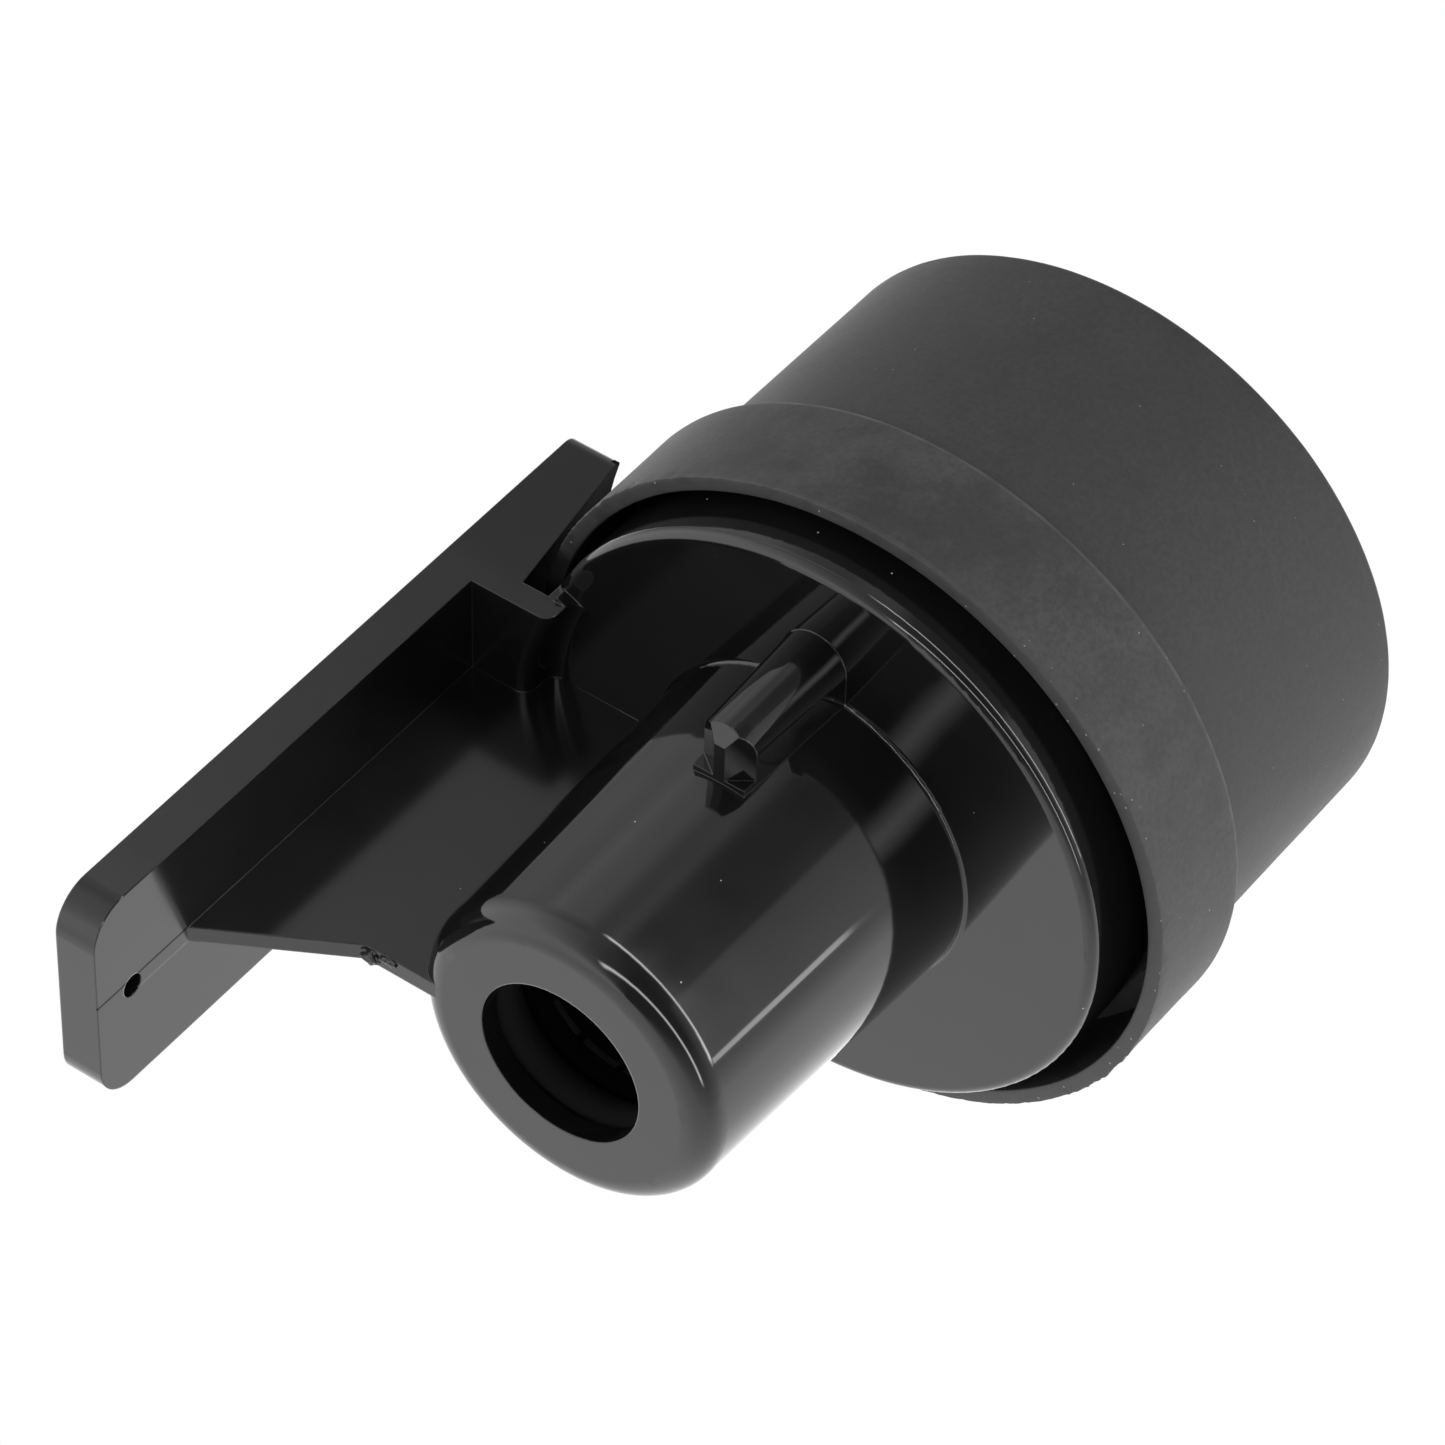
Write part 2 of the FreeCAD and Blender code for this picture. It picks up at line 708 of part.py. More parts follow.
def make_inlet_sleeve():
    body = new_body("inlet_sleeve")
    stop_radius = S.inlet_radius - S.sleeve_stop_width
    stop_top_z = screen_top_z + S.sleeve_stop_wall
    spin(body, [
        (stop_radius, screen_top_z),
        (nest_radius, screen_top_z),
        (nest_radius, sleeve_top_z),
        (tube_radius, sleeve_top_z),
        (tube_radius, stop_top_z),
        (stop_radius, stop_top_z),
    ])


def make_grip_ring():
    """The thin spring ring that grips the tube, slit into teeth on its inside."""
    body = ring("grip_ring", S.inlet_radius + S.tube_clearance / 2, nest_radius,
                sleeve_top_z, grip_top_z)
    slit = new_sketch(body, "XY", grip_top_z)
    outline(slit, rectangle(S.inlet_radius - 1, -S.grip_slot_width / 2,
                            S.inlet_radius + 2.5, S.grip_slot_width / 2))
    cut = extrude(body, slit, "Pocket", S.grip_wall)
    teeth = body.newObject("PartDesign::PolarPattern", "grip_ring_teeth")
    teeth.Originals = [cut]
    teeth.Axis = (slit, ["N_Axis"])
    teeth.Angle = 360
    teeth.Occurrences = 12
    body.Tip = teeth
    doc.recompute()


def make_plunger():
    body = new_body("plunger")
    cup_radius = S.plunger_head_radius - S.plunger_lip
    cup_top_z = seal_top_z - S.plunger_lip
    spin(body, [
        (0, foot_bottom_z),
        (foot_radius, foot_bottom_z),
        (foot_radius, foot_top_z),
        (S.stem_radius, foot_top_z),
        (S.stem_radius, head_bottom_z),
        (S.plunger_head_radius, head_bottom_z),
        (S.plunger_head_radius, cup_top_z),
        (cup_radius, cup_top_z),
        (cup_radius, seal_bottom_z),
        (0, seal_bottom_z),
    ])
    seal = new_body("plunger_seal")
    spin(seal, rectangle(0, seal_bottom_z, cup_radius - S.shell_clearance, seal_top_z))


def make_return_spring():
    """The coil spring round the stem, between its washer and the plunger's foot."""
    ring("spring_washer", S.stem_radius + S.nest_clearance,
         S.spring_recess_radius - S.nest_clearance, spring_top_z, underside_z)
    body = new_body("return_spring")
    low_z = foot_top_z + S.spring_wire_radius + S.stem_clearance
    high_z = spring_top_z - S.spring_wire_radius - S.stem_clearance
    wire = new_sketch(body, "XZ")
    circle(wire, S.spring_radius, low_z, S.spring_wire_radius)
    coil = feature(body, "AdditiveHelix", wire)
    coil.ReferenceAxis = (wire, ["V_Axis"])
    coil.Mode = "height-turns-angle"
    bind(coil, "Height", high_z - low_z)
    bind(coil, "Turns", S.spring_turns)
    doc.recompute()


def make_lever():
    """The rocker, drawn level about its pivot and stored tipped up at its float end."""
    body = new_body("lever", (pivot_x, 0, pivot_z))
    body.Placement.Rotation = FreeCAD.Rotation(Vector(0, 1, 0), rest_angle.value)
    bind(body, "Placement.Rotation.Angle", rest_angle)
    bar = new_sketch(body, "XZ")
    outline(bar, rectangle(-S.far_arm, -S.lever_bar / 2, 0, S.lever_bar / 2))
    extrude(body, bar, "Pad", S.lever_width, both_sides=True)
    bosses = ((0, S.pivot_boss_radius), (-S.near_arm, S.boss_radius), (-S.far_arm, S.boss_radius))
    for x, radius in bosses:
        boss = new_sketch(body, "XZ")
        circle(boss, x, 0, radius)
        extrude(body, boss, "Pad", S.lever_width, both_sides=True)
    bore = new_sketch(body, "XZ")
    circle(bore, 0, 0, S.pin_radius + S.pin_clearance)
    extrude(body, bore, "Pocket", S.lever_width + 1, both_sides=True)
    pin = new_body("lever_pin", (pivot_x, 0, pivot_z))
    shaft = new_sketch(pin, "XZ")
    circle(shaft, 0, 0, S.pin_radius)
    extrude(pin, shaft, "Pad", S.lever_width + (S.ear_gap + S.ear_wall) * 2, both_sides=True)


def make_lower_cover():
    """The bowl that closes the head's skirt, guides the push rod and lets the water out."""
    body = new_body("lower_cover")
    inner_radius = cover_radius - S.cover_wall
    rim_radius = skirt_inner_radius - S.shell_clearance
    rim_top_z = skirt_bottom_z + S.cover_rim_height
    spin(body, [
        (0, cover_bottom_z),
        (cover_radius, cover_bottom_z),
        (cover_radius, skirt_bottom_z),
        (rim_radius, skirt_bottom_z),
        (rim_radius, rim_top_z),
        (inner_radius, rim_top_z),
        (inner_radius, cover_floor_z),
        (0, cover_floor_z),
    ])
    holes = new_sketch(body, "XY", cover_floor_z)
    circle(holes, rod_x, 0, S.rod_radius + S.guide_clearance)
    for angle in range(30, 390, 60):
        x, y = around(S.drain_circle, angle)
        circle(holes, x, y, S.drain_radius)
    extrude(body, holes, "Pocket", S.cover_floor_wall)


def make_float_boot():
    """The rubber cup with its stepped band: the float's outside."""
    body = new_body("float_boot", float_place)
    shoulder_z = band_bottom_z + S.band_wall
    spin(body, [
        (0, 0),
        (cup_end_radius - S.cup_edge, 0),
        (cup_end_radius, S.cup_edge, S.cup_edge),
        (cup_top_radius, band_bottom_z),
        (band_radius - S.band_edge, band_bottom_z),
        (band_radius, band_bottom_z + S.band_edge, S.band_edge),
        (band_radius, rim_z),
        (band_inner_radius, rim_z),
        (band_inner_radius, shoulder_z),
        (boot_inner_radius, shoulder_z),
        (boot_inner_radius, S.boot_floor),
        (0, S.boot_floor),
    ])


def make_float_shell():
    body = new_body("float_shell", float_place)
    shell_floor_z = S.boot_floor + S.shell_wall
    spin(body, [
        (0, S.boot_floor),
        (shell_radius, S.boot_floor),
        (shell_radius, shell_top_z),
        (shell_inner_radius, shell_top_z),
        (shell_inner_radius, ledge_z),
        (ledge_radius, ledge_z),
        (ledge_radius, shell_floor_z),
        (0, shell_floor_z),
    ])
    lid_radius = shell_inner_radius - S.shell_clearance
    ring("lid_seal", ledge_radius, lid_radius, ledge_z, lid_bottom_z, float_place)
    lid = new_body("float_lid", float_place)
    spin(lid, rectangle(0, lid_bottom_z, lid_radius, lid_top_z))
    bore_x, bore_y = rod_x - S.float_shift_x, -S.float_shift_y
    boss = new_sketch(lid, "XY", lid_bottom_z - S.rod_boss_depth)
    circle(boss, bore_x, bore_y, S.rod_boss_radius)
    extrude(lid, boss, "Pad", S.rod_boss_depth + S.lid_wall / 2)
    bore = new_sketch(lid, "XY", lid_top_z)
    circle(bore, bore_x, bore_y, S.rod_radius + S.rod_seat_clearance)
    extrude(lid, bore, "Pocket", S.rod_boss_depth)


def make_push_rod():
    """The rod that the float moves the lever with, with its screwed head and lock nut."""
    rod = new_body("push_rod", rod_place)
    rod_top_z = rod_head_top_z - S.rod_head_cap
    spin(rod, rectangle(0, lid_top_z - S.rod_boss_depth, S.rod_radius, rod_top_z))
    head = new_body("rod_head", rod_place)
    bore_radius = S.rod_radius + S.rod_seat_clearance
    spin(head, [
        (bore_radius, rod_head_bottom_z),
        (S.rod_head_radius, rod_head_bottom_z),
        (S.rod_head_radius, rod_head_top_z - S.rod_head_chamfer),
        (S.rod_head_radius - S.rod_head_chamfer, rod_head_top_z),
        (0, rod_head_top_z),
        (0, rod_top_z),
        (bore_radius, rod_top_z),
    ])
    nut = new_body("rod_locknut", rod_place)
    hexagon = new_sketch(nut, "XY", rod_head_bottom_z - S.locknut_height)
    outline(hexagon, [around(S.locknut_radius, angle) for angle in range(0, 360, 60)])
    circle(hexagon, 0, 0, bore_radius)
    extrude(nut, hexagon, "Pad", S.locknut_height)


make_valve_head()
make_guide_cage()
make_cage_screws()
make_valve_seat()
make_flow_restrictor()
make_filter_screen()
make_inlet_sleeve()
make_grip_ring()
ring("ring_spacer", tube_radius, nest_radius, grip_top_z, spacer_top_z)
oring("inlet_oring", nest_radius - inlet_oring_section, inlet_oring_section, inlet_oring_z)
make_plunger()
make_return_spring()
make_lever()
make_lower_cover()
make_float_boot()
make_float_shell()
make_push_rod()
doc.recompute()

LOOSE_PIECES = ("cage_screws", "seat_oring", "inlet_oring")
pieces = [item for item in doc.Objects
          if item.TypeId == "PartDesign::Body" or item.Label in LOOSE_PIECES]
for item in doc.Objects:
    if {"Invalid", "Error"} & set(item.State):
        raise RuntimeError(f"{item.Label} failed: {item.State}")
for piece in pieces:
    if piece.Shape.isNull() or not piece.Shape.isValid() or not piece.Shape.Solids:
        raise RuntimeError(f"{piece.Label} has no valid solid")

os.makedirs("parts", exist_ok=True)
for piece in pieces:
    piece.Shape.exportStep(f"parts/{piece.Label}.step")
    print(f"{piece.Label}: {len(piece.Shape.Solids)} solid, {piece.Shape.Volume:.1f} mm3")
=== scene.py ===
import json
import math

import bmesh
import bpy
from mathutils import Matrix, Vector, noise


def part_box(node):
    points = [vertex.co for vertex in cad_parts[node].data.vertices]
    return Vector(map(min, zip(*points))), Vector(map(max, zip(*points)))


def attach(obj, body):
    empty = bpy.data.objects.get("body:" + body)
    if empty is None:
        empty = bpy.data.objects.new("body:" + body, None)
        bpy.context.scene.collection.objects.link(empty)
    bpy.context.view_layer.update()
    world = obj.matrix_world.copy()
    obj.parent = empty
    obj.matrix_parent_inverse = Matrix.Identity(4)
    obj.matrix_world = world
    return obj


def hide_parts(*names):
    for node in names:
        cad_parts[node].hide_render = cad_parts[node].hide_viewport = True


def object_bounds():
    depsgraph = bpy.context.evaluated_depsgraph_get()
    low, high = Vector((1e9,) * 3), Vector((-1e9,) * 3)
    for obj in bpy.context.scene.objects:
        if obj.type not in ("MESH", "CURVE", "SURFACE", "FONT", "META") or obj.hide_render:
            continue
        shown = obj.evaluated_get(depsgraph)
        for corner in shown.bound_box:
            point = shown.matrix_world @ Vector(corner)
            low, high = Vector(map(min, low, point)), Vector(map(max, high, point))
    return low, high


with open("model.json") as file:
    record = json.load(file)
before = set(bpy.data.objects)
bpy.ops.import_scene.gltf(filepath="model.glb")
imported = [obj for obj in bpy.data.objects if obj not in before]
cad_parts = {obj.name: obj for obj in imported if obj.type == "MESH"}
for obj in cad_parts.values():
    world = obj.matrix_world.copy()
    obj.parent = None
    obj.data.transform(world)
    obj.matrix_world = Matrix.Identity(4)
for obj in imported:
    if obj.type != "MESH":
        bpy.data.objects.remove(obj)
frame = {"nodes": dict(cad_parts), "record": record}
cad_low, cad_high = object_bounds()
centre = (cad_low + cad_high) / 2
MM = 0.001

# Places on the head, in millimetres.
NOZZLE_FACE_Z = 84.0
RAIL_INNER_X = 35.8
RAIL_TOP_Z = cad_high.z / MM
WEB_TOP_Z = 92.0
WEB_HALF = 0.9
# Zones of the head: (low, high, fade) in millimetres along x, y and z.
RIB_END = ((-5, 5, 0.5), (-28, -10, 0.5), (56, 66, 0.5))
RECESS = ((19, 60, 6), (-14, 14, 1), (49, 95, 3))
SLOT_WALLS = ((31, 60, 0.5), (-11.95, 11.95, 0.04), (0, 47.6, 0.1))
SLOT_RADII = (30 * MM, 37.2 * MM, 0.05 * MM)


# ---------------------------------------------------------------- camera
# It looks down at the nozzle's end and is rolled, so that the valve lies across the picture.
# Azimuth is measured from -Y. The aim is a little off the middle of the valve.
CAMERA_AZIMUTH = math.radians(-29.38)
CAMERA_ELEVATION = math.radians(34.87)
CAMERA_ROLL = math.radians(-133.7)
CAMERA_DISTANCE = 0.6714
CAMERA_AIM = centre + Vector((0.0090, -0.0044, -0.0076))
CAMERA_LENS = 182.8


def add_camera():
    a, e = CAMERA_AZIMUTH, CAMERA_ELEVATION
    back = Vector((math.sin(a) * math.cos(e), -math.cos(a) * math.cos(e), math.sin(e)))
    level_right = Vector((0, 0, 1)).cross(back).normalized()
    level_up = back.cross(level_right)
    roll = Matrix.Rotation(CAMERA_ROLL, 3, back)
    right, up = roll @ level_right, roll @ level_up
    camera = bpy.data.objects.new("camera", bpy.data.cameras.new("camera"))
    bpy.context.scene.collection.objects.link(camera)
    camera.data.lens = CAMERA_LENS
    camera.data.sensor_width = 36
    camera.data.clip_start, camera.data.clip_end = 0.01, 20
    turn = Matrix((right, up, back)).transposed().to_4x4()
    camera.matrix_world = Matrix.Translation(CAMERA_AIM + back * CAMERA_DISTANCE) @ turn
    bpy.context.scene.camera = camera


# ---------------------------------------------------------------- node helpers
def is_socket(value):
    return isinstance(value, bpy.types.NodeSocket)


class Nodes:
    """A short way to write a shader's node tree."""

    def __init__(self, tree):
        self.tree = tree
        self.tree.nodes.clear()

    def put(self, socket, value):
        if is_socket(value):
            self.tree.links.new(value, socket)
        else:
            socket.default_value = value

    def add(self, kind, inputs=None, **settings):
        node = self.tree.nodes.new(f"ShaderNode{kind}")
        for name, value in settings.items():
            setattr(node, name, value)
        for name, value in (inputs or {}).items():
            self.put(node.inputs[name], value)
        return node

    def ramp(self, factor, stops):
        node = self.add("ValToRGB", {"Fac": factor})
        elements = node.color_ramp.elements
        while len(elements) < len(stops):
            elements.new(0.5)
        for element, (position, level) in zip(elements, stops):
            element.position = position
            element.color = grey(level)
        return node.outputs["Color"]

    def math(self, operation, *values):
        node = self.add("Math", operation=operation)
        for socket, value in zip(node.inputs, values):
            self.put(socket, value)
        return node.outputs[0]

    def product(self, *masks):
        """The masks multiplied together."""
        result = masks[0]
        for mask in masks[1:]:
            result = self.math("MULTIPLY", result, mask)
        return result

    def between(self, value, low, high, fade):
        """1 where a value lies between two limits, falling to 0 over the fade outside them."""
        rise = self.add("MapRange", {"Value": value, "From Min": low - fade, "From Max": low})
        fall = self.add("MapRange", {"Value": value, "From Min": high + fade, "From Max": high})
        return self.product(rise.outputs[0], fall.outputs[0])

    def mix(self, factor, first, second, **settings):
        node = self.add("Mix", data_type="RGBA", **settings)
        for index, value in ((0, factor), (6, first), (7, second)):
            self.put(node.inputs[index], value)
        return node.outputs[2]

    def noise(self, place, scale, detail=3.0, rough=0.5):
        return self.add("TexNoise", {"Vector": place, "Scale": scale, "Detail": detail,
                                     "Roughness": rough}).outputs["Fac"]


def grey(value):
    return (value, value, value, 1)


def new_material(name):
    material = bpy.data.materials.new(name)
    material.use_nodes = True
    return material, Nodes(material.node_tree)


def finish_material(nodes, shader):
    output = nodes.add("OutputMaterial")
    nodes.put(output.inputs["Surface"], shader.outputs[0])


def split(nodes, vector):
    return nodes.add("SeparateXYZ", {"Vector": vector}).outputs


def zone(nodes, position, spans):
    """A mask that is 1 inside a box. Each span is (low, high, fade) in millimetres."""
    return nodes.product(*[nodes.between(value, *[size * MM for size in span])
                           for value, span in zip(position, spans)])


def object_space(nodes, scale=(1, 1, 1)):
    place = nodes.add("TexCoord").outputs["Object"]
    return nodes.add("Mapping", {"Vector": place, "Scale": scale}).outputs["Vector"]


def specks(nodes, place, cells_per_metre, radius, share):
    """White where a small dust speck lies: one in a share of the cells, at a random place."""
    cell = nodes.add("TexVoronoi", {"Vector": place, "Scale": cells_per_metre, "Randomness": 1.0},
                     feature="F1")
    near = nodes.math("LESS_THAN", cell.outputs["Distance"], radius)
    red = nodes.add("SeparateColor", {"Color": cell.outputs["Color"]}).outputs["Red"]
    return nodes.product(near, nodes.math("LESS_THAN", red, share))


def scratches(nodes, scale, cells, width, share):
    """Thin, short, nearly straight marks, in a share of the surface."""
    place = object_space(nodes, scale)
    lines = nodes.add("TexVoronoi", {"Vector": place, "Scale": cells}, feature="DISTANCE_TO_EDGE")
    thin = nodes.math("LESS_THAN", lines.outputs["Distance"], width)
    here = nodes.math("GREATER_THAN", nodes.noise(place, cells * 2.2, 2.0), 1 - share)
    return nodes.product(thin, here)


# ---------------------------------------------------------------- materials
def gloss_black():
    """The head's polished black plastic: softened edges, waviness, fine marks, a painted highlight
    along one mould line, and dust.
    """
    material, nodes = new_material("gloss_black_head")
    place = object_space(nodes)
    cloud = nodes.noise(place, 120.0, 4.0)
    roughness = nodes.ramp(cloud, [(0.3, 0.045), (0.7, 0.07)])
    colour = nodes.ramp(cloud, [(0.3, 0.0046), (0.7, 0.0066)])
    marks = scratches(nodes, (1.0, 1.0, 0.3), 110.0, 0.0016, 0.30)
    colour = nodes.mix(marks, colour, grey(0.018))
    roughness, shine = dull_recesses(nodes, place, roughness)
    colour, shine = add_parting_lines_and_painted_highlight(nodes, place, colour, shine)
    dust = nodes.math("MAXIMUM", specks(nodes, place, 240.0, 0.030, 0.12),
                      specks(nodes, place, 620.0, 0.055, 0.05))
    colour = nodes.mix(dust, colour, grey(0.40))
    roughness = nodes.math("MAXIMUM", roughness, nodes.math("MULTIPLY", dust, 0.8))
    edges = nodes.add("Bevel", {"Radius": edge_softness(nodes, place)}, samples=8)
    bump = nodes.add("Bump", {"Height": nodes.noise(place, 45.0, 2.0), "Strength": 0.06,
                              "Distance": 0.0004, "Normal": edges.outputs[0]})
    shader = nodes.add("BsdfPrincipled", {
        "Base Color": colour, "Roughness": roughness, "IOR": 1.52, "Specular IOR Level": shine,
        "Normal": bump.outputs[0],
    })
    finish_material(nodes, shader)
    return material


def edge_softness(nodes, place):
    """How round the head's edges look. The rib's gable end has crisper ones."""
    softness, crispness = 0.22 * MM, 0.45
    rib_end = zone(nodes, split(nodes, place), RIB_END)
    return nodes.math("MULTIPLY_ADD", rib_end, -crispness * softness, softness)


def dull_recesses(nodes, place, roughness):
    """The web, the rail and the bridge are less polished, and the slot's walls are dull."""
    x, y, z = split(nodes, place)
    recess = zone(nodes, (x, y, z), RECESS)
    roughness = nodes.math("MULTIPLY_ADD", recess, 0.10, roughness)
    radius = nodes.math("SQRT", nodes.math("ADD", nodes.product(x, x), nodes.product(y, y)))
    slot = nodes.product(nodes.between(radius, *SLOT_RADII), zone(nodes, (x, y, z), SLOT_WALLS))
    roughness = nodes.math("MAXIMUM", roughness, nodes.math("MULTIPLY", slot, 0.7))
    return roughness, nodes.math("MULTIPLY_ADD", slot, -0.49, 0.5)


def add_parting_lines_and_painted_highlight(nodes, place, colour, shine):
    """The fine mould lines that run up the rail's inner face from the web's two corners. The one at
    +Y is painted lighter than the plastic, a painted highlight along the mould line.
    """
    x, y, z = split(nodes, place)
    wander = nodes.math("MULTIPLY_ADD", nodes.noise(place, 900.0), 0.16 * MM, -0.08 * MM)
    across = nodes.math("ADD", y, wander)
    on_face = (RAIL_INNER_X - 0.1, RAIL_INNER_X + 0.1, 0.05)
    half_line = 0.09
    # The second line's light grey is a painted highlight, not a colour of the plastic; the first
    # line is dark.
    for line_y, top_z, level, dulling in (
            (-WEB_HALF, RAIL_TOP_Z, 0.002, -0.42),
            (WEB_HALF, WEB_TOP_Z + 6.5, 0.060, 0.0)):
        mark = zone(nodes, (x, across, z), (
            on_face, (line_y - half_line, line_y + half_line, 0.10), (WEB_TOP_Z, top_z, 0.3)))
        colour = nodes.mix(mark, colour, grey(level))
        shine = nodes.math("MULTIPLY_ADD", mark, dulling, shine)
    return colour, shine


# Heights on the rubber boot, in millimetres from its closed end.
BOOT_FLOOR = 2.0
BAND_BACK = 29.45
BOOT_LIP = 41.6
ABOVE_BOOT = 60 * MM


def boot_rubber():
    """Matte dark grey rubber with mottling, fine grain, scuffs and dust."""
    material, nodes = new_material("boot_rubber")
    place = object_space(nodes)
    z = split(nodes, place)["Z"]
    blotch = nodes.math("ADD", nodes.math("MULTIPLY", nodes.noise(place, 60.0, 6.0, 0.6), 0.6),
                        nodes.math("MULTIPLY", nodes.noise(place, 260.0, 5.0, 0.6), 0.4))
    colour = nodes.ramp(blotch, [(0.40, 0.013), (0.60, 0.021)])
    band_colour = nodes.ramp(blotch, [(0.41, 0.013), (0.59, 0.034)])
    on_band = nodes.between(z, (BAND_BACK + 0.15) * MM, ABOVE_BOOT, 0.1 * MM)
    colour = nodes.mix(on_band, colour, band_colour)
    grain = nodes.ramp(nodes.noise(place, 1700.0, 4.0, 0.7), [(0.35, 0.75), (0.65, 1.25)])
    colour = nodes.mix(1.0, colour, grain, blend_type="MULTIPLY")
    line = nodes.between(z, BAND_BACK * MM, (BAND_BACK + 0.5) * MM, 0.15 * MM)
    rub = nodes.ramp(nodes.noise(place, 500.0, 4.0), [(0.35, 0.2), (0.6, 0.9)])
    colour = nodes.mix(nodes.product(line, rub), colour, grey(0.060))
    rim = nodes.between(z, BOOT_LIP * MM, ABOVE_BOOT, 0.15 * MM)
    colour = nodes.mix(nodes.product(rim, rub), colour, grey(0.030))
    marks = scratches(nodes, (0.6, 0.6, 1.2), 150.0, 0.0035, 0.28)
    dust = nodes.math("MAXIMUM", specks(nodes, place, 420.0, 0.045, 0.05),
                      specks(nodes, place, 1100.0, 0.07, 0.04))
    lip = nodes.between(z, (BOOT_LIP - 0.6) * MM, ABOVE_BOOT, 0.5 * MM)
    lip_dust = nodes.product(specks(nodes, place, 1500.0, 0.16, 0.16), lip)
    dust = nodes.math("MAXIMUM", dust, lip_dust)
    colour = nodes.mix(nodes.math("MULTIPLY", marks, 0.4), colour, grey(0.07))
    colour = nodes.mix(nodes.math("MULTIPLY", dust, 0.7), colour, grey(0.28))
    roughness = nodes.ramp(blotch, [(0.3, 0.50), (0.7, 0.62)])
    height = nodes.math("ADD", nodes.noise(place, 2600.0), nodes.noise(place, 420.0, 4.0))
    bump = nodes.add("Bump", {"Height": height, "Strength": 0.22, "Distance": 0.00010})
    shader = nodes.add("BsdfPrincipled", {
        "Base Color": colour, "Roughness": roughness, "IOR": 1.5, "Normal": bump.outputs[0],
    })
    finish_material(nodes, shader)
    return material


def plain_plastic(name, colour, roughness, shine=0.5):
    """Satin moulded plastic for the pieces inside."""
    material, nodes = new_material(name)
    place = object_space(nodes)
    darker = [c * 0.92 for c in colour] + [1]
    shade = nodes.mix(nodes.noise(place, 200.0, 4.0), darker, [*colour, 1])
    bump = nodes.add("Bump", {"Height": nodes.noise(place, 1500.0), "Strength": 0.06,
                              "Distance": 0.0001})
    shader = nodes.add("BsdfPrincipled", {
        "Base Color": shade, "Roughness": roughness, "Specular IOR Level": shine,
        "Normal": bump.outputs[0],
    })
    finish_material(nodes, shader)
    return material


def plain_metal(name, colour, roughness, metallic=1.0):
    """Drawn or turned metal, with fine lines along it."""
    material, nodes = new_material(name)
    lines = nodes.noise(object_space(nodes, (1, 1, 12)), 900.0)
    shade = nodes.mix(lines, [c * 0.8 for c in colour] + [1], [*colour, 1])
    bump = nodes.add("Bump", {"Height": lines, "Strength": 0.08, "Distance": 0.0001})
    shader = nodes.add("BsdfPrincipled", {
        "Base Color": shade, "Metallic": metallic, "Roughness": roughness,
        "Normal": bump.outputs[0],
    })
    finish_material(nodes, shader)
    return material


SLOT_MATERIALS = {
    "black_plastic": plain_plastic("satin_black_plastic", (0.002, 0.002, 0.002), 0.8, 0.03),
    "boot_rubber": boot_rubber(),
    "white_plastic": plain_plastic("white_acetal", (0.78, 0.78, 0.75), 0.38),
    "grey_plastic": plain_plastic("grey_polypropylene", (0.22, 0.23, 0.24), 0.45),
    "filter_plastic": plain_plastic("dark_nylon", (0.004, 0.004, 0.0045), 0.8, 0.03),
    "seal_rubber": plain_plastic("seal_rubber", (0.008, 0.008, 0.008), 0.8, 0.1),
    "stainless": plain_metal("stainless_steel", (0.60, 0.59, 0.57), 0.28),
    "spring_steel": plain_metal("spring_steel", (0.66, 0.66, 0.67), 0.2),
    "black_steel": plain_metal("blackened_steel", (0.006, 0.006, 0.0065), 0.7, 0.3),
}
# The head is polished, and its gate marks are torn, unlike the black pieces inside.
HEAD_MATERIAL = gloss_black()
TORN_MATERIAL = plain_plastic("torn_black_plastic", (0.02, 0.02, 0.02), 0.35)


def paint_cad_nodes():
    for row in frame["record"]["subparts"]:
        slot = row["material_slot"]
        piece = frame["nodes"][row["node"]]
        piece.data.materials.clear()
        piece.data.materials.append(
            HEAD_MATERIAL if row["node"] == "valve_head" else SLOT_MATERIALS[slot])


def add_piece(mesh, material, body, sharp_angle=None):
    """Shows a mesh as a smooth piece of the same name that rides on a body."""
    mesh.polygons.foreach_set("use_smooth", [True] * len(mesh.polygons))
    if sharp_angle:
        mesh.set_sharp_from_angle(angle=sharp_angle)
    mesh.materials.append(material)
    piece = bpy.data.objects.new(mesh.name, mesh)
    bpy.context.scene.collection.objects.link(piece)
    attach(piece, body)
    return piece


# ---------------------------------------------------------------- rubber boot
BOOT_SEGMENTS = 512
END_RADIUS, END_ROUNDING = 31.7, 0.7
TRUE_INSIDE_RADIUS = 31.9
OUTER_LIP_RADIUS = 34.5


def arc_points(centre_r, centre_z, radius, start, end, steps=6):
    """Points of an arc in the section plane, from a start to an end angle in degrees."""
    angles = [math.radians(start + (end - start) * i / steps) for i in range(steps + 1)]
    return [(centre_r + radius * math.cos(t), centre_z + radius * math.sin(t)) for t in angles]


def wall_points(start, end, steps):
    """The points between the two ends of a straight wall."""
    return [tuple(p + (q - p) * i / steps for p, q in zip(start, end)) for i in range(1, steps)]


def boot_profile():
    """The boot's section as (radius, height) in millimetres, from the closed end's middle."""
    foot = arc_points(END_RADIUS, END_ROUNDING, END_ROUNDING, -90, 0)
    waist = [(32.65, 29.2), (32.8, BAND_BACK)]
    back = arc_points(34.6, 29.9, 0.4, -90, 0)
    lip = arc_points(34.85, 41.85, 0.15, 0, 90, 3)
    inner_lip = arc_points(33.6, 41.8, 0.2, 90, 180, 3)
    inside = [(33.4, 31.1), (30.8, 31.1), (30.8, BOOT_FLOOR)]
    return (wall_points((0, 0), (END_RADIUS, 0), 8) + foot
            + wall_points(foot[-1], waist[0], 14) + waist + back
            + wall_points(back[-1], lip[0], 10) + lip
            + wall_points(lip[-1], inner_lip[0], 3) + inner_lip
            + wall_points(inner_lip[-1], inside[0], 6) + inside)


